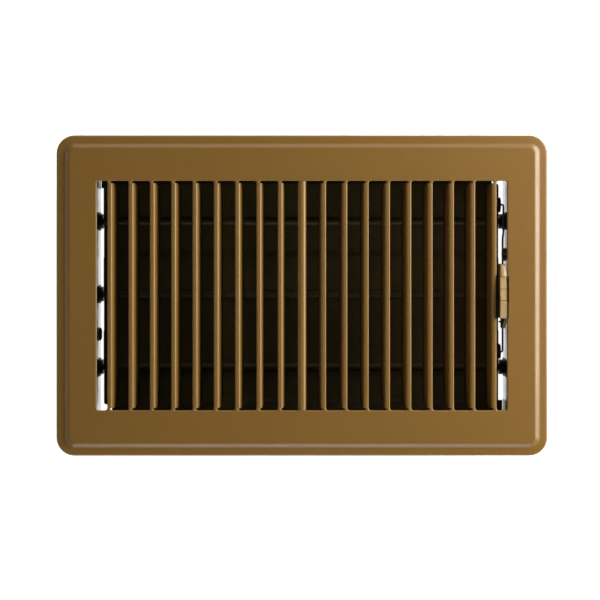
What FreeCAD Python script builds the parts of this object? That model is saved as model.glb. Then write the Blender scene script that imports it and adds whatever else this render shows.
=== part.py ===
import FreeCAD, Part
import math
import os

import Sketcher

# Floor register for a 254 x 152.4 mm (10 x 6 inch) duct opening, in millimetres.
# X is the length, Y the width, +Z up out of the floor.  The origin is the centre of the
# plane on which the face plate's rim rests.  The damper blades are shown closed.

SHEET = "Dims"
DIMENSIONS = {
    # face plate
    "FaceLength": 293.4,
    "FaceWidth": 191.6,
    "FaceCorner": 11.0,
    "FaceHeight": 5.5,
    "FaceSheet": 1.0,
    "RimRadius": 1.5,
    "FlangeWidth": 5.1,
    "FlangeSlope": 5.0,
    "StepRun": 2.7,
    "StepSlope": 30.0,
    "StepRadius": 3.0,
    "ShoulderWidth": 9.6,
    "ShoulderRadius": 2.6,
    # louvre field
    "LouvrePitch": 12.7,
    "SlotHalf": 68.35,
    "SlotCorner": 1.3,
    "SlotRound": 0.8,
    "BarOuter": 1.65,
    "BarInner": 0.15,
    "CentreBarHalf": 2.5,
    "CentreBarBend": 2.2,
    "CentreBarDepth": 4.0,
    "EndSlotEdge": 122.2,
    "VaneBend": 1.3,
    "VaneDepth": 11.0,
    "VaneHalf": 67.0,
    "VaneTiltFirst": 8.0,
    "VaneTiltStep": 0.75,
    "VaneRoot": 1.2,
    "VaneClip": 4.0,
    "NotchWiden": 1.2,
    "NotchFrom": -14.0,
    "NotchTo": 12.0,
    # damper frame
    "FrameSheet": 0.7,
    "FrameHalfLength": 125.9,
    "FrameHalfWidth": 75.0,
    "FrameBottom": -37.5,
    "FrameBend": 0.5,
    "FrameGap": 0.7,
    "FlangeEnd": 113.0,
    "LedgeReach": 8.8,
    "LedgeThick": 0.8,
    "LedgeRelief": 7.7,
    # blades and their pivots
    "PivotPitch": 45.0,
    "PivotHeight": -30.5,
    "BladeSheet": 0.55,
    "BladeHalfWidth": 23.4,
    "BladeHalfLength": 122.1,
    "BladeShift": -0.5,
    "BladeCorner": 1.5,
    "WingOffset": 0.85,
    "RibRadius": 2.4,
    "RibBore": 1.85,
    "RodRadius": 1.8,
    "RodHalfLength": 126.5,
    "EarFrom": 5.5,
    "EarTo": 14.5,
    "EarTop": 13.0,
    "EarRound": 4.4,
    "Crank": 10.0,
    "EyeRadius": 1.0,
    # bearings
    "BearingSlot": 4.5,
    "BearingCore": 4.45,
    "BearingBand": 5.2,
    "BearingFlange": 5.7,
    "BearingFlangeThick": 0.8,
    "BearingTop": 4.3,
    "BossRadius": 4.6,
    "BossEndLeft": 122.9,
    "BossEndRight": 121.9,
    "BearingBore": 1.85,
    # end brackets and rivets
    "BracketSheet": 1.0,
    "BracketHalf": 6.0,
    "BracketShelf": 11.1,
    "BracketDrop": -31.0,
    "BracketPlace": 24.5,
    "BracketRivetHeight": -26.0,
    "BracketRivetHead": 4.3,
    "BracketRivetDome": 2.0,
    "BracketRivetShank": 1.6,
    "CornerRivetPlace": 119.0,
    "CornerRivetHigh": -8.0,
    "CornerRivetLow": -26.0,
    "CornerRivetHead": 2.5,
    "CornerRivetDome": 1.2,
    "CornerRivetShank": 1.3,
    "RivetClearance": 0.05,
    # link rods
    "WireRadius": 0.6,
    "WireBend": 1.0,
    "WireX": 122.9,
    "WireOuterX": 123.4,
    "WireJogFrom": 34.0,
    "WireJogTo": 38.0,
    "HookX": 119.8,
    "HookTail": 2.8,
    "RearEndX": 120.6,
    "RearEndY": -16.6,
    "FrontEndX": 121.75,
    "FrontEndY": -19.4,
    # thumb lever
    "FootInner": 121.9,
    "FootOuter": 123.9,
    "FootFrom": -20.5,
    "FootTo": 14.0,
    "FootBottom": -23.5,
    "FootShoulder": -17.0,
    "BridgeFrom": -13.5,
    "BridgeTo": 9.0,
    "BridgeTop": -1.0,
    "PegRadius": 0.95,
    "PegEnd": 119.9,
    "WireFit": 0.02,
    "KnobInner": 117.9,
    "KnobOuter": 121.5,
    "KnobFrom": -13.5,
    "KnobTo": 19.0,
    "KnobBottom": -5.5,
    "KnobTop": 9.0,
    "KnobCrown": 38.0,
    "KnobEndRound": 3.0,
    "KnobSideRound": 1.2,
    "KnobTipLift": 0.3,
    "KnobTipFall": 1.2,
    "GripPitch": 7.1,
    "GripFirst": -3.0,
    "GripStep": 0.6,
}

VANE_COUNT = 9
GRIP_COUNT = 3


class Dim:
    """A length or angle with both its number and the sheet expression that gives it."""

    def __init__(self, text, value):
        self.text = text
        self.value = value

    def __add__(self, other):
        other = as_dim(other)
        return Dim(f"({self.text} + {other.text})", self.value + other.value)

    def __sub__(self, other):
        other = as_dim(other)
        return Dim(f"({self.text} - {other.text})", self.value - other.value)

    def __mul__(self, other):
        other = as_dim(other)
        return Dim(f"({self.text} * {other.text})", self.value * other.value)

    def __truediv__(self, other):
        other = as_dim(other)
        return Dim(f"({self.text} / {other.text})", self.value / other.value)

    def __neg__(self):
        return Dim(f"(0 - {self.text})", -self.value)


def as_dim(value):
    return value if isinstance(value, Dim) else Dim(repr(float(value)), float(value))


def cell(alias):
    return Dim(f"{SHEET}.{alias}", DIMENSIONS[alias])


def sine(angle):
    return Dim(f"sin({angle.text})", math.sin(math.radians(angle.value)))


def cosine(angle):
    return Dim(f"cos({angle.text})", math.cos(math.radians(angle.value)))


def tangent(angle):
    return Dim(f"tan({angle.text})", math.tan(math.radians(angle.value)))


# ---------------------------------------------------------------- document and sheet

doc = FreeCAD.newDocument("FloorRegister")


def fill_sheet():
    sheet = doc.addObject("Spreadsheet::Sheet", SHEET)
    for row, (alias, value) in enumerate(DIMENSIONS.items(), start=1):
        sheet.set(f"A{row}", alias)
        sheet.set(f"B{row}", str(value))
        sheet.setAlias(f"B{row}", alias)
    doc.recompute()


def bind(thing, prop, value):
    """Set a property now and bind it to its sheet expression."""
    value = as_dim(value)
    setattr(thing, prop, value.value)
    thing.setExpression(prop, value.text)


# ---------------------------------------------------------------- sketch helpers

def new_body(label):
    body = doc.addObject("PartDesign::Body", label)
    body.Label = label
    return body


def origin_plane(body, role):
    return next(item for item in body.Origin.OriginFeatures if item.Role == role)


def new_sketch(body, name, role, offset=0.0):
    sketch = body.newObject("Sketcher::SketchObject", name)
    sketch.AttachmentSupport = [(origin_plane(body, role), "")]
    sketch.MapMode = "FlatFace"
    offset = as_dim(offset)
    sketch.AttachmentOffset = FreeCAD.Placement(FreeCAD.Vector(0, 0, offset.value), FreeCAD.Rotation())
    sketch.setExpression("AttachmentOffset.Base.z", offset.text)
    return sketch


def pin_point(sketch, geometry, end, x, y):
    """Hold one point of a sketch at the place its two expressions give."""
    for kind, value in (("DistanceX", x), ("DistanceY", y)):
        index = sketch.addConstraint(Sketcher.Constraint(kind, geometry, end, value.value))
        sketch.setExpression(f"Constraints[{index}]", value.text)


def rounded_corner(before, corner, after, radius):
    """Start, middle and end of the arc of a radius that rounds a corner."""
    to_before = (before - corner).normalize()
    to_after = (after - corner).normalize()
    half_angle = to_before.getAngle(to_after) / 2
    reach = radius / math.tan(half_angle)
    bisector = (to_before + to_after).normalize()
    centre = corner + bisector * (radius / math.sin(half_angle))
    middle = centre - bisector * radius
    return corner + to_before * reach, middle, corner + to_after * reach


def outline(sketch, corners, closed=True):
    """Draw a polygon of (x, y, radius) corners, each rounded where its radius isn't 0."""
    corners = [tuple(as_dim(value) for value in corner) for corner in corners]
    count = len(corners)
    points = [FreeCAD.Vector(x.value, y.value, 0) for x, y, _ in corners]
    entry = list(points)
    leave = list(points)
    middle = [None] * count
    for i, (_, _, radius) in enumerate(corners):
        if radius.value > 0:
            around = rounded_corner(points[i - 1], points[i], points[(i + 1) % count], radius.value)
            entry[i], middle[i], leave[i] = around
    spans = count if closed else count - 1
    lines = []
    for i in range(spans):
        segment = Part.LineSegment(leave[i], entry[(i + 1) % count])
        lines.append(sketch.addGeometry(segment, False))
    for i, (x, y, radius) in enumerate(corners):
        incoming = lines[i - 1] if closed or i > 0 else None
        outgoing = lines[i] if i < spans else None
        if radius.value > 0:
            arc = corner_arc(sketch, incoming, outgoing, entry[i], middle[i], leave[i])
            mark = sketch.addGeometry(Part.Point(points[i]), True)
            index = sketch.addConstraint(Sketcher.Constraint("Radius", arc, radius.value))
            sketch.setExpression(f"Constraints[{index}]", radius.text)
            sketch.addConstraint(Sketcher.Constraint("PointOnObject", mark, 1, incoming))
            sketch.addConstraint(Sketcher.Constraint("PointOnObject", mark, 1, outgoing))
            pin_point(sketch, mark, 1, x, y)
            continue
        if incoming is not None and outgoing is not None:
            sketch.addConstraint(Sketcher.Constraint("Coincident", incoming, 2, outgoing, 1))
        if outgoing is not None:
            pin_point(sketch, outgoing, 1, x, y)
        else:
            pin_point(sketch, incoming, 2, x, y)


def corner_arc(sketch, incoming, outgoing, start, middle, finish):
    """Draw a corner's arc and join it smoothly to the lines before and after it.

    A sketch's arcs run counter-clockwise, so on a clockwise corner the two ends are swapped.
    """
    clockwise = (middle - start).cross(finish - middle).z < 0
    first, last = (2, 1) if clockwise else (1, 2)
    curve = Part.Arc(finish, middle, start) if clockwise else Part.Arc(start, middle, finish)
    arc = sketch.addGeometry(curve, False)
    sketch.addConstraint(Sketcher.Constraint("Tangent", incoming, 2, arc, first))
    sketch.addConstraint(Sketcher.Constraint("Tangent", arc, last, outgoing, 1))
    return arc


def box_outline(sketch, left, bottom, right, top, radius=0.0):
    outline(sketch, [
        (left, bottom, radius),
        (right, bottom, radius),
        (right, top, radius),
        (left, top, radius),
    ])


def circle(sketch, x, y, radius):
    x, y, radius = as_dim(x), as_dim(y), as_dim(radius)
    centre = FreeCAD.Vector(x.value, y.value, 0)
    ring = sketch.addGeometry(Part.Circle(centre, FreeCAD.Vector(0, 0, 1), radius.value), False)
    index = sketch.addConstraint(Sketcher.Constraint("Radius", ring, radius.value))
    sketch.setExpression(f"Constraints[{index}]", radius.text)
    pin_point(sketch, ring, 3, x, y)


# ---------------------------------------------------------------- feature helpers

def finish(body, feature):
    """Make a feature the body's tip, and stop at once if it failed."""
    body.Tip = feature
    doc.recompute()
    if "Invalid" in feature.State or feature.Shape.isNull():
        raise RuntimeError(f"{feature.Name} failed: {feature.getStatusString()}")
    return feature


def pad(body, sketch, length, midplane=False, reverse=False):
    feature = body.newObject("PartDesign::Pad", sketch.Name + "Pad")
    feature.Profile = sketch
    bind(feature, "Length", length)
    feature.SideType = "Symmetric" if midplane else "One side"
    feature.Reversed = reverse
    return finish(body, feature)


def cut(body, sketch, length, midplane=False, reverse=False):
    """Pocket a sketch into its body, and make sure that it took something away."""
    before = body.Shape.Volume
    feature = body.newObject("PartDesign::Pocket", sketch.Name + "Cut")
    feature.Profile = sketch
    bind(feature, "Length", length)
    feature.SideType = "Symmetric" if midplane else "One side"
    feature.Reversed = reverse
    finish(body, feature)
    if body.Shape.Volume >= before:
        raise RuntimeError(f"{feature.Name} cuts nothing")
    return feature


def mirrored(body, originals, role):
    feature = body.newObject("PartDesign::Mirrored", originals[0].Name + "Mirror")
    feature.Originals = originals
    feature.MirrorPlane = (origin_plane(body, role), [""])
    return finish(body, feature)


def fillet_edges(body, radius, wanted):
    """Round the edges of a body's tip for which wanted(edge) is true."""
    base = body.Tip
    names = [f"Edge{n}" for n, edge in enumerate(base.Shape.Edges, start=1) if wanted(edge)]
    if not names:
        raise RuntimeError(f"no edge to round on {body.Label}")
    feature = body.newObject("PartDesign::Fillet", base.Name + "Round")
    feature.Base = (base, names)
    bind(feature, "Radius", radius)
    return finish(body, feature)


def near(value, target):
    return abs(value - target) < 1e-4


# ---------------------------------------------------------------- face plate

def half_length():
    return cell("FaceLength") / 2


def half_width():
    return cell("FaceWidth") / 2


def inner_corner(along, height, slope_outside, slope_inside):
    """The corner on the sheet's under side that lies below a corner of its top side."""
    middle = (slope_outside + slope_inside) * 0.5
    spread = (slope_outside - slope_inside) * 0.5
    reach = cell("FaceSheet") / cosine(spread)
    return along - reach * sine(middle), height - reach * cosine(middle)


def rim_section(body):
    """The rim in section: an upright lip, a sloping flange, and a step up to the flat face."""
    sheet = cell("FaceSheet")
    edge, top = half_length(), cell("FaceHeight")
    upright, level = as_dim(90.0), as_dim(0.0)
    flange, step = cell("FlangeSlope"), cell("StepSlope")
    foot = edge - cell("FlangeWidth")
    head = foot - cell("StepRun")
    foot_top = top - cell("StepRun") * tangent(step)
    lip_top = foot_top - cell("FlangeWidth") * tangent(flange)
    section = new_sketch(body, "RimSection", "XZ_Plane")
    outline(section, [
        (edge, 0.0, 0.0),
        (edge, lip_top, cell("RimRadius")),
        (foot, foot_top, cell("StepRadius")),
        (head, top, cell("ShoulderRadius")),
        (edge - cell("ShoulderWidth"), top, 0.0),
        (edge - cell("ShoulderWidth"), top - sheet, 0.0),
        (*inner_corner(head, top, step, level), cell("ShoulderRadius") - sheet),
        (*inner_corner(foot, foot_top, flange, step), cell("StepRadius") + sheet),
        (*inner_corner(edge, lip_top, upright, flange), cell("RimRadius") - sheet),
        (edge - sheet, 0.0, 0.0),
    ])
    return section


def rim(body):
    route = new_sketch(body, "RimRoute", "XY_Plane")
    across, along = half_length(), half_width()
    corner = cell("FaceCorner")
    outline(route, [
        (across, 0.0, 0.0),
        (across, along, corner),
        (-across, along, corner),
        (-across, -along, corner),
        (across, -along, corner),
    ])
    section = rim_section(body)
    sweep = body.newObject("PartDesign::AdditivePipe", "Rim")
    sweep.Profile = section
    sweep.Spine = (route, [])
    sweep.Mode = "Frenet"
    finish(body, sweep)


def top_plate(body):
    sketch = new_sketch(body, "TopPlate", "XY_Plane", cell("FaceHeight") - cell("FaceSheet"))
    across = half_length() - cell("ShoulderWidth")
    along = half_width() - cell("ShoulderWidth")
    box_outline(sketch, -across, -along, across, along, cell("FaceCorner") - cell("ShoulderWidth"))
    pad(body, sketch, cell("FaceSheet"))


def bar_edge(number):
    """The raw edge of a bar, on the side away from the middle of the plate."""
    if number == 0:
        return cell("CentreBarHalf")
    return cell("LouvrePitch") * number + cell("BarOuter")


def bend_line(number):
    """Where a bar's flat top ends and its vane starts to turn down."""
    return cell("LouvrePitch") * number - cell("BarInner")


def slot(sketch, left, right):
    along = cell("SlotHalf")
    box_outline(sketch, left, -along, right, along, cell("SlotCorner"))


def slots(body):
    above = cell("FaceHeight")
    ends = new_sketch(body, "EndSlots", "XY_Plane", above)
    slot(ends, bar_edge(0), bend_line(1))
    slot(ends, bar_edge(VANE_COUNT), cell("EndSlotEdge"))
    end_cut = cut(body, ends, cell("FaceSheet") * 2)
    mirrored(body, [end_cut], "YZ_Plane")
    inner = new_sketch(body, "InnerSlots", "XY_Plane", above)
    for number in range(1, VANE_COUNT):
        slot(inner, bar_edge(number), bend_line(number + 1))
    inner_cut = cut(body, inner, cell("FaceSheet") * 2)
    mirrored(body, [inner_cut], "YZ_Plane")


def lever_notch(body):
    """The right-most slot is a little wider beside the thumb lever."""
    sketch = new_sketch(body, "LeverNotch", "XY_Plane", cell("FaceHeight"))
    widen = cell("NotchWiden")
    box_outline(
        sketch,
        bar_edge(VANE_COUNT) - widen / 2,
        cell("NotchFrom"),
        cell("EndSlotEdge") + widen,
        cell("NotchTo"),
        cell("SlotCorner") / 2,
    )
    cut(body, sketch, cell("FaceSheet") * 2)


def round_slot_edges(body):
    top = DIMENSIONS["FaceHeight"]
    field_x = DIMENSIONS["EndSlotEdge"] + DIMENSIONS["NotchWiden"] + 1
    field_y = DIMENSIONS["SlotHalf"] + 1

    def wanted(edge):
        box = edge.BoundBox
        flat = near(box.ZMin, top) and near(box.ZMax, top)
        return flat and max(-box.XMin, box.XMax) < field_x and max(-box.YMin, box.YMax) < field_y

    fillet_edges(body, cell("SlotRound"), wanted)


def centre_bar(body):
    """The middle bar is a channel: both of its long edges are turned down through a wide bend."""
    half, bend = cell("CentreBarHalf"), cell("CentreBarBend")
    top, sheet = cell("FaceHeight"), cell("FaceSheet")
    slot_end = cell("SlotHalf")
    clear = half + cell("SlotCorner")
    opening = new_sketch(body, "CentreOpening", "XY_Plane", top)
    box_outline(opening, -clear, -slot_end, clear, slot_end)
    cut(body, opening, sheet + 0.5)
    foot = top - cell("CentreBarDepth")
    channel = new_sketch(body, "CentreChannel", "XZ_Plane")
    outline(channel, [
        (-half, foot, 0.0),
        (-half, top, bend),
        (half, top, bend),
        (half, foot, 0.0),
        (half - sheet, foot, 0.0),
        (half - sheet, top - sheet, bend - sheet),
        (sheet - half, top - sheet, bend - sheet),
        (sheet - half, foot, 0.0),
    ])
    pad(body, channel, (slot_end + 0.5) * 2, midplane=True)


def vane_corners(number):
    """One vane in section: it starts inside its bar's top, bends, and hangs at a slight tilt."""
    sheet = cell("FaceSheet")
    top = cell("FaceHeight")
    tilt = cell("VaneTiltFirst") + cell("VaneTiltStep") * (number - 1)
    start = bend_line(number)
    drop = cell("VaneDepth")
    # The vane's outer face and the top plane meet here.
    apex = start - cell("VaneBend") * tangent((as_dim(90.0) - tilt) / 2)
    toe = apex - drop * tangent(tilt)
    thick = sheet / cosine(tilt)
    inner_apex = apex + thick - sheet * tangent(tilt)
    return [
        (start + cell("VaneRoot"), top, 0.0),
        (apex, top, cell("VaneBend")),
        (toe, top - drop, 0.0),
        (toe + thick, top - drop, 0.0),
        (inner_apex, top - sheet, cell("VaneBend") - sheet),
        (start + cell("VaneRoot"), top - sheet, 0.0),
    ]


def vanes(body):
    sketch = new_sketch(body, "Vanes", "XZ_Plane")
    for number in range(1, VANE_COUNT + 1):
        outline(sketch, vane_corners(number))
    one_side = pad(body, sketch, cell("VaneHalf") * 2, midplane=True)
    mirrored(body, [one_side], "YZ_Plane")


def vane_clips(body):
    """The vanes' lower corners are clipped at a slant."""
    sketch = new_sketch(body, "VaneClips", "YZ_Plane")
    outer = cell("VaneHalf") + 0.5
    high = cell("FaceHeight") - 2.5
    low = cell("FaceHeight") - cell("VaneDepth") - 1.0
    clip = outer - cell("VaneClip")
    outline(sketch, [(outer, high, 0.0), (clip, low, 0.0), (outer, low, 0.0)])
    outline(sketch, [(-outer, high, 0.0), (-outer, low, 0.0), (-clip, low, 0.0)])
    cut(body, sketch, (cell("LouvrePitch") * VANE_COUNT + 4.0) * 2, midplane=True)


def face_plate():
    body = new_body("face_plate")
    rim(body)
    top_plate(body)
    slots(body)
    round_slot_edges(body)
    lever_notch(body)
    centre_bar(body)
    vanes(body)
    vane_clips(body)
    return body


# ---------------------------------------------------------------- damper frame

def wall_inner_x():
    return cell("FrameHalfLength") - cell("FrameSheet")


def wall_inner_y():
    return cell("FrameHalfWidth") - cell("FrameSheet")


def frame_top():
    return cell("FaceHeight") - cell("FaceSheet")


def frame_strip(body):
    """One strip: a long wall, an end wall, and a flange lapped outside the other half's wall."""
    sheet = cell("FrameSheet")
    out_x, out_y = cell("FrameHalfLength"), cell("FrameHalfWidth")
    bend = cell("FrameBend")
    free_end = wall_inner_x() - cell("FrameGap")
    sketch = new_sketch(body, "Strip", "XY_Plane", cell("FrameBottom"))
    outline(sketch, [
        (-free_end, out_y, 0.0),
        (-free_end, wall_inner_y(), 0.0),
        (wall_inner_x(), wall_inner_y(), bend),
        (wall_inner_x(), -out_y, bend),
        (cell("FlangeEnd"), -out_y, 0.0),
        (cell("FlangeEnd"), -(out_y + sheet), 0.0),
        (out_x, -(out_y + sheet), bend + sheet),
        (out_x, out_y, bend + sheet),
    ])
    pad(body, sketch, frame_top() - cell("FrameBottom"))


def stop_ledge(body):
    """The folded rib along the long wall on which an outer blade closes."""
    thick = cell("LedgeThick")
    sketch = new_sketch(body, "Ledge", "XY_Plane", cell("PivotHeight") - thick / 2)
    inner = wall_inner_y()
    box_outline(
        sketch,
        -(wall_inner_x() - 1.2),
        inner - cell("LedgeReach"),
        wall_inner_x() - cell("LedgeRelief"),
        inner + cell("FrameSheet") / 2,
    )
    pad(body, sketch, thick)
    rim_line = DIMENSIONS["FrameHalfWidth"] - DIMENSIONS["FrameSheet"] - DIMENSIONS["LedgeReach"]

    def wanted(edge):
        box = edge.BoundBox
        return near(box.YMin, rim_line) and near(box.YMax, rim_line) and box.XLength > 100

    fillet_edges(body, thick / 2 - 0.05, wanted)


def bearing_slots(body):
    """Open-topped slots in the end wall that take the three bearings."""
    sketch = new_sketch(body, "BearingSlots", "YZ_Plane", cell("FrameHalfLength") + 1.0)
    half = cell("BearingSlot")
    for step in (-1, 0, 1):
        middle = cell("PivotPitch") * step
        outline(sketch, [
            (middle - half, frame_top() + 1.0, 0.0),
            (middle - half, cell("PivotHeight") - half, half - 0.1),
            (middle + half, cell("PivotHeight") - half, half - 0.1),
            (middle + half, frame_top() + 1.0, 0.0),
        ])
    cut(body, sketch, cell("FrameSheet") + 2.0)


def rivet_holes(body):
    sheet = cell("FrameSheet")
    face = new_sketch(body, "BracketRivetHole", "YZ_Plane", cell("FrameHalfLength") + 1.0)
    hole = cell("BracketRivetShank") + cell("RivetClearance")
    circle(face, cell("BracketPlace"), cell("BracketRivetHeight"), hole)
    cut(body, face, sheet + 2.0)
    hole = cell("CornerRivetShank") + cell("RivetClearance")
    middles = (cell("FrameHalfWidth") + sheet / 2, sheet / 2 - cell("FrameHalfWidth"))
    for name, middle, side in zip(("FlangeHoles", "WallHoles"), middles, (1, -1)):
        sketch = new_sketch(body, name, "XZ_Plane", middle)
        for height in (cell("CornerRivetHigh"), cell("CornerRivetLow")):
            circle(sketch, cell("CornerRivetPlace") * side, height, hole)
        cut(body, sketch, sheet + 1.0, midplane=True)


def frame_half(label, turn):
    body = new_body(label)
    frame_strip(body)
    stop_ledge(body)
    bearing_slots(body)
    rivet_holes(body)
    body.Placement = FreeCAD.Placement(FreeCAD.Vector(), FreeCAD.Rotation(FreeCAD.Vector(0, 0, 1), turn))
    return body


# ---------------------------------------------------------------- part primitives

def put(thing, x, y, z):
    for name, value in (("x", x), ("y", y), ("z", z)):
        thing.setExpression(f"Placement.Base.{name}", as_dim(value).text)


def box(name, low, high):
    thing = doc.addObject("Part::Box", name)
    low = [as_dim(value) for value in low]
    high = [as_dim(value) for value in high]
    for prop, start, end in zip(("Length", "Width", "Height"), low, high):
        bind(thing, prop, end - start)
    put(thing, *low)
    return thing


def rod_along_x(name, radius, start, end, y=0.0, z=0.0):
    thing = doc.addObject("Part::Cylinder", name)
    bind(thing, "Radius", radius)
    bind(thing, "Height", as_dim(end) - start)
    thing.Placement = FreeCAD.Placement(FreeCAD.Vector(), FreeCAD.Rotation(FreeCAD.Vector(0, 1, 0), 90))
    put(thing, start, y, z)
    return thing


def fuse(name, shapes):
    thing = doc.addObject("Part::MultiFuse", name)
    thing.Shapes = shapes
    thing.Refine = True
    return thing


def subtract(name, base, tool):
    thing = doc.addObject("Part::Cut", name)
    thing.Base = base
    thing.Tool = tool
    thing.Refine = True
    return thing


def end_turn(side):
    return FreeCAD.Rotation(FreeCAD.Vector(0, 0, 1), 0 if side == "right" else 180)


# ---------------------------------------------------------------- bearings and rods

def round_ended_plate(name, half, radius, start, end):
    """A plate across X: a straight band down to the pivot, with a round end about it."""
    pivot = cell("PivotHeight")
    band = box(name + "Band", (start, -half, pivot), (end, half, cell("BearingTop")))
    disc = rod_along_x(name + "Disc", radius, start, end, 0.0, pivot)
    return [band, disc]


def bearing(label, step, side):
    """A moulded bearing: it slides down its slot, grips the wall, and holds the rod's end."""
    outer = cell("FrameHalfLength")
    inner = wall_inner_x()
    thick = cell("BearingFlangeThick")
    pieces = round_ended_plate(label + "Core", cell("BearingCore"), cell("BearingCore"), inner, outer)
    pieces += round_ended_plate(
        label + "Inner", cell("BearingBand"), cell("BearingFlange"), inner - thick, inner
    )
    pieces += round_ended_plate(
        label + "Outer", cell("BearingBand"), cell("BearingFlange"), outer, outer + thick
    )
    pivot = cell("PivotHeight")
    boss_end = cell("BossEndRight") if side == "right" else cell("BossEndLeft")
    pieces.append(rod_along_x(label + "Boss", cell("BossRadius"), boss_end, inner, 0.0, pivot))
    solid = fuse(label + "Solid", pieces)
    bore = rod_along_x(label + "Bore", cell("BearingBore"), boss_end - 1.0, outer + 2.0, 0.0, pivot)
    thing = subtract(label + "Bored", solid, bore)
    thing.Label = label
    shift = FreeCAD.Vector(0, DIMENSIONS["PivotPitch"] * step, 0)
    thing.Placement = FreeCAD.Placement(shift, end_turn(side))
    thing.setExpression("Placement.Base.y", (cell("PivotPitch") * step).text)
    return thing


def pivot_rod(label, step):
    half = cell("RodHalfLength")
    thing = rod_along_x(label, cell("RodRadius"), -half, half, cell("PivotPitch") * step, cell("PivotHeight"))
    thing.Label = label
    return thing


# ---------------------------------------------------------------- damper blades

def blade(label, step):
    """Sheet rolled round its rod: one wing leaves the rib high, the other low, and an ear drives it."""
    body = new_body(label)
    length = cell("BladeHalfLength") * 2
    sheet = cell("BladeSheet")
    lift = cell("WingOffset")
    reach = cell("BladeHalfWidth")
    rib = new_sketch(body, label + "Rib", "YZ_Plane")
    circle(rib, 0.0, 0.0, cell("RibRadius"))
    pad(body, rib, length, midplane=True)
    wings = new_sketch(body, label + "Wings", "YZ_Plane")
    box_outline(wings, 1.0, lift - sheet / 2, reach, lift + sheet / 2)
    box_outline(wings, -reach, -(lift + sheet / 2), -1.0, -(lift - sheet / 2))
    pad(body, wings, length, midplane=True)
    bore = new_sketch(body, label + "RibBore", "YZ_Plane")
    circle(bore, 0.0, 0.0, cell("RibBore"))
    cut(body, bore, length + 2.0, midplane=True)
    ear(body, label)
    half_x, half_y = DIMENSIONS["BladeHalfLength"], DIMENSIONS["BladeHalfWidth"]

    def wanted(edge):
        box = edge.BoundBox
        corner = near(abs(box.XMin), half_x) and near(abs(box.YMin), half_y)
        return corner and box.XLength < 0.01 and box.YLength < 0.01

    fillet_edges(body, cell("BladeCorner"), wanted)
    body.setExpression("Placement.Base.x", cell("BladeShift").text)
    body.setExpression("Placement.Base.y", (cell("PivotPitch") * step).text)
    body.setExpression("Placement.Base.z", cell("PivotHeight").text)
    return body


def ear(body, label):
    """The tab turned up at the blade's right-hand end, with the eye for the linkage."""
    sketch = new_sketch(body, label + "Ear", "YZ_Plane", cell("BladeHalfLength"))
    outline(sketch, [
        (cell("EarFrom"), cell("WingOffset"), 0.0),
        (cell("EarTo"), cell("WingOffset"), 0.0),
        (cell("EarTo"), cell("EarTop"), cell("EarRound")),
        (cell("EarFrom"), cell("EarTop"), cell("EarRound")),
    ])
    pad(body, sketch, cell("BladeSheet"), reverse=True)
    eye = new_sketch(body, label + "Eye", "YZ_Plane", cell("BladeHalfLength") + 1.0)
    circle(eye, cell("Crank"), cell("Crank"), cell("EyeRadius"))
    cut(body, eye, cell("BladeSheet") + 2.0)


# ---------------------------------------------------------------- brackets and rivets

def end_bracket(label, side):
    """An angle welded under the face plate, outside an end wall of the frame."""
    start = cell("FrameHalfLength")
    sheet = cell("BracketSheet")
    low, high = cell("BracketPlace") - cell("BracketHalf"), cell("BracketPlace") + cell("BracketHalf")
    shelf_end = start + cell("BracketShelf")
    leg = box(label + "Leg", (start, low, cell("BracketDrop")), (start + sheet, high, frame_top()))
    shelf = box(label + "Shelf", (start, low, frame_top() - sheet), (shelf_end, high, frame_top()))
    angle = fuse(label + "Angle", [leg, shelf])
    radius = cell("BracketRivetShank") + cell("RivetClearance")
    height = cell("BracketRivetHeight")
    hole = rod_along_x(label + "Hole", radius, start - 1.0, start + 3.0, cell("BracketPlace"), height)
    thing = subtract(label + "Cut", angle, hole)
    thing.Label = label
    thing.Placement = FreeCAD.Placement(FreeCAD.Vector(), end_turn(side))
    return thing


def rivet(name, sizes, inner, tail, turn, place):
    """A domed head inside a wall, and a shank flush outside; sizes are head, dome and shank."""
    body = new_body(name)
    head, dome, shank = (cell(size) for size in sizes)
    sketch = new_sketch(body, name + "Profile", "XY_Plane")
    outline(sketch, [
        (inner - dome, 0.0, 0.0),
        (tail, 0.0, 0.0),
        (tail, shank, 0.0),
        (inner, shank, 0.0),
        (inner, head, 0.0),
        (inner - dome, head, dome - 0.1),
    ])
    spin = body.newObject("PartDesign::Revolution", name + "Turn")
    spin.Profile = sketch
    spin.ReferenceAxis = (sketch, ["H_Axis"])
    spin.Angle = 360
    finish(body, spin)
    place = [as_dim(value) for value in place]
    base = FreeCAD.Vector(*[value.value for value in place])
    body.Placement = FreeCAD.Placement(base, FreeCAD.Rotation(FreeCAD.Vector(0, 0, 1), turn))
    put(body, *place)
    return body


def rivet_group(label, rivets):
    group = doc.addObject("Part::Compound", label)
    group.Links = rivets
    group.Label = label
    return group


def bracket_rivets():
    sizes = ("BracketRivetHead", "BracketRivetDome", "BracketRivetShank")
    inner = wall_inner_x()
    tail = cell("FrameHalfLength") + cell("BracketSheet")
    rivets = []
    for number, (turn, side) in enumerate(((0, 1), (180, -1))):
        place = (0.0, cell("BracketPlace") * side, cell("BracketRivetHeight"))
        rivets.append(rivet(f"BracketRivet{number}", sizes, inner, tail, turn, place))
    return rivet_group("bracket_rivets", rivets)


def corner_rivets():
    sizes = ("CornerRivetHead", "CornerRivetDome", "CornerRivetShank")
    inner = wall_inner_y()
    tail = cell("FrameHalfWidth") + cell("FrameSheet")
    rivets = []
    for turn, side in ((-90, 1), (90, -1)):
        for height in ("CornerRivetHigh", "CornerRivetLow"):
            place = (cell("CornerRivetPlace") * side, 0.0, cell(height))
            rivets.append(rivet(f"CornerRivet{len(rivets)}", sizes, inner, tail, turn, place))
    return rivet_group("corner_rivets", rivets)


# ---------------------------------------------------------------- link rods

def link_height():
    return cell("PivotHeight") + cell("Crank")


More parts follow.
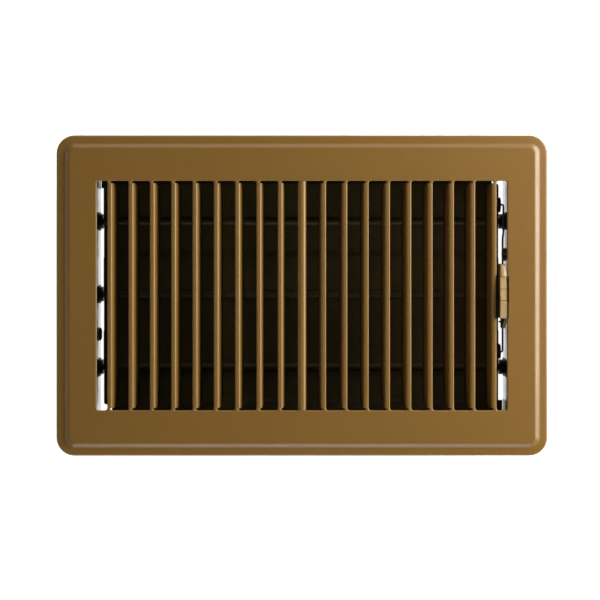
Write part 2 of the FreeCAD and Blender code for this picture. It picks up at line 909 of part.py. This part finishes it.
def bent_wire(label, corners):
    """A round wire swept along a level path of (x, y) corners; its first run is along X."""
    body = new_body(label)
    ends = (0, len(corners) - 1)
    path = [(x, y, 0.0 if i in ends else cell("WireBend")) for i, (x, y) in enumerate(corners)]
    route = new_sketch(body, label + "Route", "XY_Plane", link_height())
    outline(route, path, closed=False)
    section = new_sketch(body, label + "Section", "YZ_Plane", corners[0][0])
    circle(section, corners[0][1], link_height(), cell("WireRadius"))
    sweep = body.newObject("PartDesign::AdditivePipe", label + "Sweep")
    sweep.Profile = section
    sweep.Spine = (route, [])
    finish(body, sweep)
    return body


def link_rods():
    """Two wires from the lever's foot to the outer blades' eyes, with a hooked tail at each eye."""
    rear = cell("PivotPitch") + cell("Crank")
    front = cell("Crank") - cell("PivotPitch")
    near_x, far_x, hook = cell("WireX"), cell("WireOuterX"), cell("HookX")
    rear_rod = bent_wire("link_rod_rear", [
        (cell("RearEndX"), cell("RearEndY")),
        (near_x, cell("RearEndY")),
        (near_x, cell("WireJogFrom")),
        (far_x, cell("WireJogTo")),
        (far_x, rear),
        (hook, rear),
        (hook, rear + cell("HookTail")),
    ])
    front_rod = bent_wire("link_rod_front", [
        (cell("FrontEndX"), cell("FrontEndY")),
        (near_x, cell("FrontEndY")),
        (near_x, front),
        (hook, front),
        (hook, front - cell("HookTail")),
    ])
    return [rear_rod, front_rod]


# ---------------------------------------------------------------- thumb lever

def crown(y):
    """Height of the lever's crowned top at a place along it."""
    y = as_dim(y)
    return cell("KnobTop") - y * y / (cell("KnobCrown") * 2.0)


def knob(body):
    """The thumb piece from the side: a crowned top cut into grip steps, and a flat tip."""
    sketch = new_sketch(body, "Knob", "YZ_Plane", cell("KnobInner"))
    start, end, bottom = cell("KnobFrom"), cell("KnobTo"), cell("KnobBottom")
    corners = [(start, bottom, 0.0), (end, bottom, 0.0), (end, crown(end), cell("KnobEndRound"))]
    for number in reversed(range(GRIP_COUNT)):
        place = cell("GripFirst") + cell("GripPitch") * number
        corners.append((place + 0.3, crown(place), 0.0))
        corners.append((place, crown(place) - cell("GripStep"), 0.0))
    tip = cell("KnobTop") + cell("KnobTipLift")
    corners.append((cell("GripFirst") - 0.6, tip, 0.0))
    corners.append((start, tip - cell("KnobTipFall"), 1.2))
    outline(sketch, corners)
    pad(body, sketch, cell("KnobOuter") - cell("KnobInner"))
    far_end = DIMENSIONS["KnobTo"]

    def wanted(edge):
        box = edge.BoundBox
        return box.XLength < 0.001 and near(box.YMax, far_end) and box.ZLength > 1

    fillet_edges(body, cell("KnobSideRound"), wanted)


def lever_foot(body):
    """The bridge under the face plate's edge, and the flat foot that carries the linkage."""
    outer = cell("FootOuter")
    left, right = cell("BridgeFrom"), cell("BridgeTo")
    bridge = new_sketch(body, "Bridge", "YZ_Plane", cell("KnobInner"))
    box_outline(bridge, left, cell("KnobBottom"), right, cell("BridgeTop"))
    pad(body, bridge, outer - cell("KnobInner"))
    foot = new_sketch(body, "Foot", "YZ_Plane", cell("FootInner"))
    outline(foot, [
        (left, cell("BridgeTop"), 0.0),
        (cell("FootFrom"), cell("FootShoulder"), 1.5),
        (cell("FootFrom"), cell("FootBottom"), 1.5),
        (cell("FootTo"), cell("FootBottom"), 1.5),
        (cell("FootTo"), cell("FootShoulder"), 1.5),
        (right, cell("BridgeTop"), 0.0),
    ])
    pad(body, foot, outer - cell("FootInner"))


def thumb_lever():
    body = new_body("thumb_lever")
    knob(body)
    lever_foot(body)
    inner = cell("FootInner")
    peg = new_sketch(body, "Peg", "YZ_Plane", cell("PegEnd"))
    circle(peg, cell("Crank"), link_height(), cell("PegRadius"))
    pad(body, peg, inner - cell("PegEnd"))
    room = cell("WireRadius") + cell("WireFit")
    bore = new_sketch(body, "WireBore", "XZ_Plane")
    circle(bore, cell("WireX"), link_height(), room)
    cut(body, bore, cell("FaceWidth"), midplane=True)
    window = new_sketch(body, "WireWindow", "YZ_Plane", cell("WireX") + room)
    for place, reach in ((cell("RearEndY"), cell("WireBend")), (cell("FrontEndY") - 0.5, as_dim(0.5))):
        box_outline(window, place - room, link_height() - room, place + room + reach, link_height() + room)
    cut(body, window, cell("WireX") + room - inner + 0.5)
    return body


# ---------------------------------------------------------------- assembly

BLADES = (("rear", 1), ("middle", 0), ("front", -1))


def build_all():
    parts = [face_plate(), frame_half("frame_half_rear", 0), frame_half("frame_half_front", 180)]
    for side in ("left", "right"):
        parts.append(end_bracket(f"end_bracket_{side}", side))
    parts.append(bracket_rivets())
    parts.append(corner_rivets())
    for place, step in BLADES:
        parts.append(blade(f"damper_blade_{place}", step))
        parts.append(pivot_rod(f"pivot_rod_{place}", step))
        for side in ("left", "right"):
            parts.append(bearing(f"bearing_{place}_{side}", step, side))
    parts.extend(link_rods())
    parts.append(thumb_lever())
    return parts


def check_document():
    for thing in doc.Objects:
        if "Invalid" in thing.State or "Error" in thing.State:
            raise RuntimeError(f"{thing.Label} failed: {thing.State}")


def export(parts):
    os.makedirs("parts", exist_ok=True)
    for thing in parts:
        shape = thing.Shape
        if shape.isNull() or not shape.isValid() or not shape.Solids:
            raise RuntimeError(f"{thing.Label} has no valid solid")
        shape.exportStep(f"parts/{thing.Label}.step")
        print(f"{thing.Label}: {len(shape.Solids)} solid(s), {shape.Volume:.1f} mm3")


fill_sheet()
PARTS = build_all()
doc.recompute()
check_document()
export(PARTS)
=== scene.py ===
import math

import bpy
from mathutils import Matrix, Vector


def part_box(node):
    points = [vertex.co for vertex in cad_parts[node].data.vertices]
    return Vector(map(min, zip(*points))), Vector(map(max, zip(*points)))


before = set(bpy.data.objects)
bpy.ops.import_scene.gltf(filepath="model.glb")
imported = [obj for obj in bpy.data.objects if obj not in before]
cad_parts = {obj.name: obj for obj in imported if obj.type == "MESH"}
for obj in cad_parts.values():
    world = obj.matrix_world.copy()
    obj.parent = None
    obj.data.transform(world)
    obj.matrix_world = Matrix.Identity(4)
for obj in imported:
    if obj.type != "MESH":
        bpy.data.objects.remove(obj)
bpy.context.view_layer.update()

MM = 0.001

# ---------------------------------------------------------------- materials

GALVANISED_NODES = (
    "frame_half_rear",
    "frame_half_front",
    "end_bracket_left",
    "end_bracket_right",
)
BLADE_NODES = ("damper_blade_rear", "damper_blade_middle", "damper_blade_front")
BEARING_NODES = tuple(
    f"bearing_{place}_{side}"
    for place in ("rear", "middle", "front")
    for side in ("left", "right")
)
ROD_NODES = ("pivot_rod_rear", "pivot_rod_middle", "pivot_rod_front")
WIRE_NODES = ("link_rod_rear", "link_rod_front")
RIVET_NODES = ("bracket_rivets", "corner_rivets")

# Colours are linear; a pair is the darker and the lighter end of a material's variation.
ENAMEL = ((0.203, 0.105, 0.019), (0.216, 0.112, 0.021))
ENAMEL_SPECK = (0.243, 0.128, 0.026)
# Painted shade: the dark brown the enamel turns low on the vanes.
ENAMEL_PAINTED_SHADE = (0.030, 0.018, 0.006)
ZINC_INSIDE = ((0.60, 0.63, 0.66), (0.70, 0.72, 0.74))
# Painted shade: the zinc on outer faces is a darker copy of the inner zinc.
ZINC_OUTSIDE_SHADED = ((0.24, 0.25, 0.265), (0.33, 0.34, 0.355))
# The blades' own dark paint; the same colour is also painted shade on the frame inside, by the
# ledges and two corners.
BLADE_PAINT_AND_FRAME_SHADE = (0.062, 0.047, 0.0125)
DARK_PAINT_RUBBED = (0.088, 0.066, 0.017)
NYLON = ((0.006, 0.006, 0.006), (0.011, 0.010, 0.009))
PLASTIC = ((0.34, 0.225, 0.09), (0.44, 0.30, 0.13))
STEEL = ((0.16, 0.15, 0.14), (0.26, 0.25, 0.24))
FLOOR_PAINT = ((0.90, 0.90, 0.90), (0.93, 0.93, 0.93))
WHITE = (1.0, 1.0, 1.0, 1.0)

FINE_BUMP = 0.01 * MM

# Heights between which painted shade darkens the enamel down the vanes, standing in for the shade
# deep in the slots.
VANE_PAINTED_SHADE = (-0.5 * MM, -4.2 * MM)

# Values of facing_out() between which the zinc takes a darker painted shade on its outer faces, and
# between which the painted shade inside starts.
ZINC_OUTSIDE_SHADE_RANGE = (30 * MM, 60 * MM)
INSIDE = (20 * MM, 10 * MM)

# Painted shade on the frame: distance from the middle across and along, and x * y for the two
# lapped corners.
LEDGE_FACE = (65.0 * MM, 65.4 * MM)
LEDGE_END = (117.8 * MM, 117.5 * MM)
LAPPED_CORNER = (-7300 * MM * MM, -7500 * MM * MM)


class Graph:
    """A material's node tree, with one short call for each kind of node used here."""

    def __init__(self, name):
        self.material = bpy.data.materials.new(name)
        self.material.use_nodes = True
        self.nodes = self.material.node_tree.nodes
        self.links = self.material.node_tree.links
        self.shader = self.nodes["Principled BSDF"]
        coordinates = self.nodes.new("ShaderNodeTexCoord")
        self.place = coordinates.outputs["Object"]
        self.facing = coordinates.outputs["Normal"]

    def join(self, source, target):
        self.links.new(source, target)

    def colour(self, source):
        self.join(source, self.shader.inputs["Base Color"])

    def roughness(self, source):
        self.join(source, self.shader.inputs["Roughness"])

    def stretched(self, scale):
        mapping = self.nodes.new("ShaderNodeMapping")
        mapping.inputs["Scale"].default_value = scale
        self.join(self.place, mapping.inputs["Vector"])
        return mapping.outputs["Vector"]

    def noise(self, scale, detail=3.0, roughness=0.5, vector=None):
        node = self.nodes.new("ShaderNodeTexNoise")
        node.inputs["Scale"].default_value = scale
        node.inputs["Detail"].default_value = detail
        node.inputs["Roughness"].default_value = roughness
        self.join(vector or self.place, node.inputs["Vector"])
        return node.outputs["Fac"]

    def cells(self, scale):
        """One random value for each cell of a broken-up surface."""
        node = self.nodes.new("ShaderNodeTexVoronoi")
        node.inputs["Scale"].default_value = scale
        self.join(self.place, node.inputs["Vector"])
        split = self.nodes.new("ShaderNodeSeparateColor")
        self.join(node.outputs["Color"], split.inputs["Color"])
        return split.outputs["Red"]

    def spread(self, source, low, high):
        """Map 0.3 to 0.7 of a texture onto a range of values."""
        node = self.nodes.new("ShaderNodeMapRange")
        node.inputs["From Min"].default_value = 0.3
        node.inputs["From Max"].default_value = 0.7
        node.inputs["To Min"].default_value = low
        node.inputs["To Max"].default_value = high
        self.join(source, node.inputs["Value"])
        return node.outputs["Result"]

    def blend(self, factor, first, second):
        node = self.nodes.new("ShaderNodeMix")
        node.data_type = "RGBA"
        self.join(factor, node.inputs["Factor"])
        for socket, value in ((node.inputs["A"], first), (node.inputs["B"], second)):
            if isinstance(value, tuple):
                socket.default_value = (*value, 1.0)
            else:
                self.join(value, socket)
        return node.outputs["Result"]

    def math(self, operation, first, second=0.0):
        node = self.nodes.new("ShaderNodeMath")
        node.operation = operation
        for socket, value in zip(node.inputs, (first, second)):
            if isinstance(value, float):
                socket.default_value = value
            else:
                self.join(value, socket)
        return node.outputs["Value"]

    def axes(self, vector):
        node = self.nodes.new("ShaderNodeSeparateXYZ")
        self.join(vector, node.inputs["Vector"])
        return node.outputs["X"], node.outputs["Y"], node.outputs["Z"]

    def ramp(self, source, start, end):
        """0 at start and 1 at end, smooth between them."""
        node = self.nodes.new("ShaderNodeMapRange")
        node.interpolation_type = "SMOOTHSTEP"
        node.inputs["From Min"].default_value = start
        node.inputs["From Max"].default_value = end
        self.join(source, node.inputs["Value"])
        return node.outputs["Result"]

    def bump(self, height, depth, strength=1.0, below=None):
        node = self.nodes.new("ShaderNodeBump")
        node.inputs["Strength"].default_value = strength
        node.inputs["Distance"].default_value = depth
        self.join(height, node.inputs["Height"])
        if below is not None:
            self.join(below, node.inputs["Normal"])
        self.join(node.outputs["Normal"], self.shader.inputs["Normal"])
        return node.outputs["Normal"]

    def set(self, **values):
        for name, value in values.items():
            self.shader.inputs[name.replace("_", " ")].default_value = value


def brown_enamel():
    """Baked enamel on steel: satin, with fine orange peel, and painted shade that darkens it down
    the vanes.
    """
    graph = Graph("brown_enamel")
    drift = graph.spread(graph.noise(9.0, detail=2.0), 0.0, 1.0)
    colour = graph.blend(drift, *ENAMEL)
    speck = graph.spread(graph.noise(2600.0, detail=2.0), 0.0, 0.35)
    colour = graph.blend(speck, colour, ENAMEL_SPECK)
    height = graph.axes(graph.place)[2]
    # Painted shade: the enamel turns dark low on the vanes, where the slots are in shade.
    vane_painted_shade = graph.ramp(height, *VANE_PAINTED_SHADE)
    graph.colour(graph.blend(vane_painted_shade, colour, ENAMEL_PAINTED_SHADE))
    graph.roughness(graph.spread(graph.noise(160.0), 0.33, 0.41))
    peel = graph.bump(graph.noise(700.0, detail=2.0), 2 * FINE_BUMP, 0.5)
    graph.bump(graph.noise(2600.0, detail=2.0), FINE_BUMP, 0.4, peel)
    return graph.material


def galvanised():
    """Zinc-coated sheet: spangle cells and fine rolling lines, with painted shade darkening the
    outer faces, and dark painted shade inside by the ledges and two corners.
    """
    graph = Graph("galvanised")
    tone = graph.cells(190.0)
    bright = graph.blend(tone, *ZINC_INSIDE)
    # Painted shade: outer faces get the darker copy of the zinc.
    outside_shaded = graph.blend(tone, *ZINC_OUTSIDE_SHADED)
    outward = facing_out(graph)
    colour = graph.blend(graph.ramp(outward, *ZINC_OUTSIDE_SHADE_RANGE), bright, outside_shaded)
    # Painted shade: the frame turns dark and non-metallic inside by the ledges and in two corners,
    # where it lies in shade.
    frame_shade = painted_frame_shade(graph, outward)
    graph.colour(graph.blend(frame_shade, colour, BLADE_PAINT_AND_FRAME_SHADE))
    graph.join(graph.math("SUBTRACT", 1.0, frame_shade), graph.shader.inputs["Metallic"])
    graph.roughness(graph.spread(tone, 0.34, 0.46))
    rolled = graph.noise(60.0, detail=2.0, vector=graph.stretched((0.15, 0.15, 9.0)))
    graph.bump(rolled, FINE_BUMP, 0.15)
    return graph.material


def facing_out(graph):
    """Distance from the middle along the normal: over 70 mm outside, negative inside."""
    x, y, _ = graph.axes(graph.place)
    facing_x, facing_y, _ = graph.axes(graph.facing)
    along = graph.math("MULTIPLY", facing_x, x)
    across = graph.math("MULTIPLY", facing_y, y)
    return graph.math("ADD", along, across)


def painted_frame_shade(graph, outward):
    """1 where dark painted shade covers the frame: inside, by the ledges and two corners."""
    x, y, _ = graph.axes(graph.place)
    inside = graph.ramp(outward, *INSIDE)
    beside_ledge = graph.ramp(graph.math("ABSOLUTE", y), *LEDGE_FACE)
    over_ledge = graph.ramp(graph.math("ABSOLUTE", x), *LEDGE_END)
    lapped_corner = graph.ramp(graph.math("MULTIPLY", x, y), *LAPPED_CORNER)
    across = graph.math("MAXIMUM", over_ledge, lapped_corner)
    return graph.math("MULTIPLY", inside, graph.math("MULTIPLY", beside_ledge, across))


def damper_paint():
    """Thin dark paint on the blades, with rubbed patches and fine rolling lines along them."""
    graph = Graph("damper_paint")
    patch = graph.spread(graph.noise(35.0, detail=5.0, roughness=0.6), 0.0, 1.0)
    graph.colour(graph.blend(patch, BLADE_PAINT_AND_FRAME_SHADE, DARK_PAINT_RUBBED))
    graph.roughness(graph.spread(graph.noise(120.0), 0.38, 0.52))
    along = graph.stretched((0.2, 6.0, 6.0))
    rolled = graph.noise(40.0, detail=4.0, roughness=0.6, vector=along)
    graph.bump(rolled, 3 * FINE_BUMP, 0.4)
    graph.set(Specular_IOR_Level=0.25)
    return graph.material


def black_nylon():
    """Moulded black nylon, slightly uneven."""
    graph = Graph("black_nylon")
    graph.colour(graph.blend(graph.spread(graph.noise(300.0), 0.0, 1.0), *NYLON))
    graph.roughness(graph.spread(graph.noise(500.0), 0.42, 0.56))
    graph.bump(graph.noise(1500.0, detail=2.0), FINE_BUMP, 0.5)
    return graph.material


def lever_plastic():
    """Tan moulded plastic with flow marks along its length."""
    graph = Graph("lever_plastic")
    flow = graph.spread(graph.noise(60.0, vector=graph.stretched((6.0, 0.8, 3.0))), 0.0, 1.0)
    graph.colour(graph.blend(flow, *PLASTIC))
    graph.roughness(graph.spread(graph.noise(350.0), 0.26, 0.38))
    graph.bump(graph.noise(1100.0, detail=2.0), FINE_BUMP, 0.4)
    return graph.material


def bright_steel():
    """Drawn wire and rivet steel: fine lines along X, and slight tarnish."""
    graph = Graph("bright_steel")
    tarnish = graph.spread(graph.noise(90.0, detail=4.0, roughness=0.6), 0.0, 1.0)
    graph.colour(graph.blend(tarnish, *STEEL))
    drawn = graph.noise(200.0, roughness=0.6, vector=graph.stretched((0.05, 6.0, 6.0)))
    graph.roughness(graph.spread(drawn, 0.24, 0.40))
    graph.bump(drawn, FINE_BUMP, 0.4)
    graph.set(Metallic=1.0)
    return graph.material


def floor_paint():
    """White paint that also glows, like the lit table under the object in the photograph."""
    graph = Graph("floor_paint")
    graph.colour(graph.blend(graph.spread(graph.noise(4.0), 0.0, 1.0), *FLOOR_PAINT))
    graph.set(Roughness=0.9, Emission_Color=WHITE, Emission_Strength=0.95)
    return graph.material


def paint(material, *nodes):
    for node in nodes:
        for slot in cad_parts[node].material_slots:
            slot.material = material


def paint_nodes():
    paint(brown_enamel(), "face_plate")
    paint(galvanised(), *GALVANISED_NODES)
    paint(damper_paint(), *BLADE_NODES)
    paint(black_nylon(), *BEARING_NODES)
    paint(lever_plastic(), "thumb_lever")
    paint(bright_steel(), *ROD_NODES, *WIRE_NODES, *RIVET_NODES)


# ---------------------------------------------------------------- floor, lights and camera

FLOOR_GAP = 0.1 * MM
FLOOR_RADIUS = 6.0
FLOOR_WALL = 1.3
FLOOR_SIDES = 64

WORLD_STRENGTH = 0.06

# The camera hangs over CAMERA_PLACE and its picture is centred on CAMERA_AIM, both (x, y).
CAMERA_DISTANCE = 0.9
CAMERA_PLACE = (-0.0008, 0.024)
CAMERA_AIM = (-0.00115, -0.0026)
PICTURE_WIDTH = 0.3572
SENSOR_WIDTH = 36.0


def floor():
    """A plain round floor just under the damper box, with a low wall of the same paint far off."""
    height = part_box("frame_half_rear")[0][2] - FLOOR_GAP
    turns = [2 * math.pi * number / FLOOR_SIDES for number in range(FLOOR_SIDES)]
    ring = [(math.cos(turn) * FLOOR_RADIUS, math.sin(turn) * FLOOR_RADIUS) for turn in turns]
    corners = [(x, y, height) for x, y in ring] + [(x, y, height + FLOOR_WALL) for x, y in ring]
    faces = [tuple(range(FLOOR_SIDES))]
    for number in range(FLOOR_SIDES):
        following = (number + 1) % FLOOR_SIDES
        faces.append((following, number, number + FLOOR_SIDES, following + FLOOR_SIDES))
    mesh = bpy.data.meshes.new("floor")
    mesh.from_pydata(corners, [], faces)
    room = bpy.data.objects.new("floor", mesh)
    bpy.context.collection.objects.link(room)
    mesh.materials.append(floor_paint())


def softbox(name, azimuth, elevation, distance, size, power, sheen_only=False):
    """A rectangular area light aimed at the origin.

    The azimuth is counter-clockwise from +X, and both angles are in degrees.
    """
    data = bpy.data.lights.new(name, "AREA")
    data.shape = "RECTANGLE"
    data.size, data.size_y = size
    data.energy = power
    lamp = bpy.data.objects.new(name, data)
    turn, rise = math.radians(azimuth), math.radians(elevation)
    flat = math.cos(rise)
    direction = Vector((math.cos(turn) * flat, math.sin(turn) * flat, math.sin(rise)))
    lamp.location = direction * distance
    lamp.rotation_euler = (-lamp.location).to_track_quat("-Z", "Y").to_euler()
    lamp.visible_diffuse = not sheen_only
    bpy.context.collection.objects.link(lamp)


def lights():
    world = bpy.data.worlds.new("studio")
    world.use_nodes = True
    background = world.node_tree.nodes["Background"]
    background.inputs["Color"].default_value = WHITE
    background.inputs["Strength"].default_value = WORLD_STRENGTH
    bpy.context.scene.world = world
    side = (0.9, 0.35)
    softbox("key", azimuth=18, elevation=24, distance=0.80, size=(0.8, 0.31), power=11.7)
    softbox("fill_left", azimuth=180, elevation=12, distance=1.2, size=side, power=0.6)
    softbox("front", azimuth=274, elevation=24, distance=1.2, size=side, power=5.0)
    softbox("back", azimuth=88, elevation=24, distance=1.2, size=side, power=2.4)
    softbox(
        "sheen", azimuth=26, elevation=50, distance=1.0, size=(0.40, 0.16), power=0.9,
        sheen_only=True,
    )


def camera():
    """Straight down from a little behind the middle, with the shift that frames the plate."""
    face_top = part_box("face_plate")[1][2]
    data = bpy.data.cameras.new("camera")
    data.sensor_width = SENSOR_WIDTH
    data.lens = SENSOR_WIDTH * CAMERA_DISTANCE / PICTURE_WIDTH
    data.shift_x = (CAMERA_AIM[0] - CAMERA_PLACE[0]) / PICTURE_WIDTH
    data.shift_y = (CAMERA_AIM[1] - CAMERA_PLACE[1]) / PICTURE_WIDTH
    data.clip_start = 0.01
    view = bpy.data.objects.new("camera", data)
    view.location = (*CAMERA_PLACE, face_top + CAMERA_DISTANCE)
    bpy.context.collection.objects.link(view)
    bpy.context.scene.camera = view


def look():
    settings = bpy.context.scene.view_settings
    settings.view_transform = "Standard"
    settings.look = "None"


paint_nodes()
floor()
lights()
camera()
look()
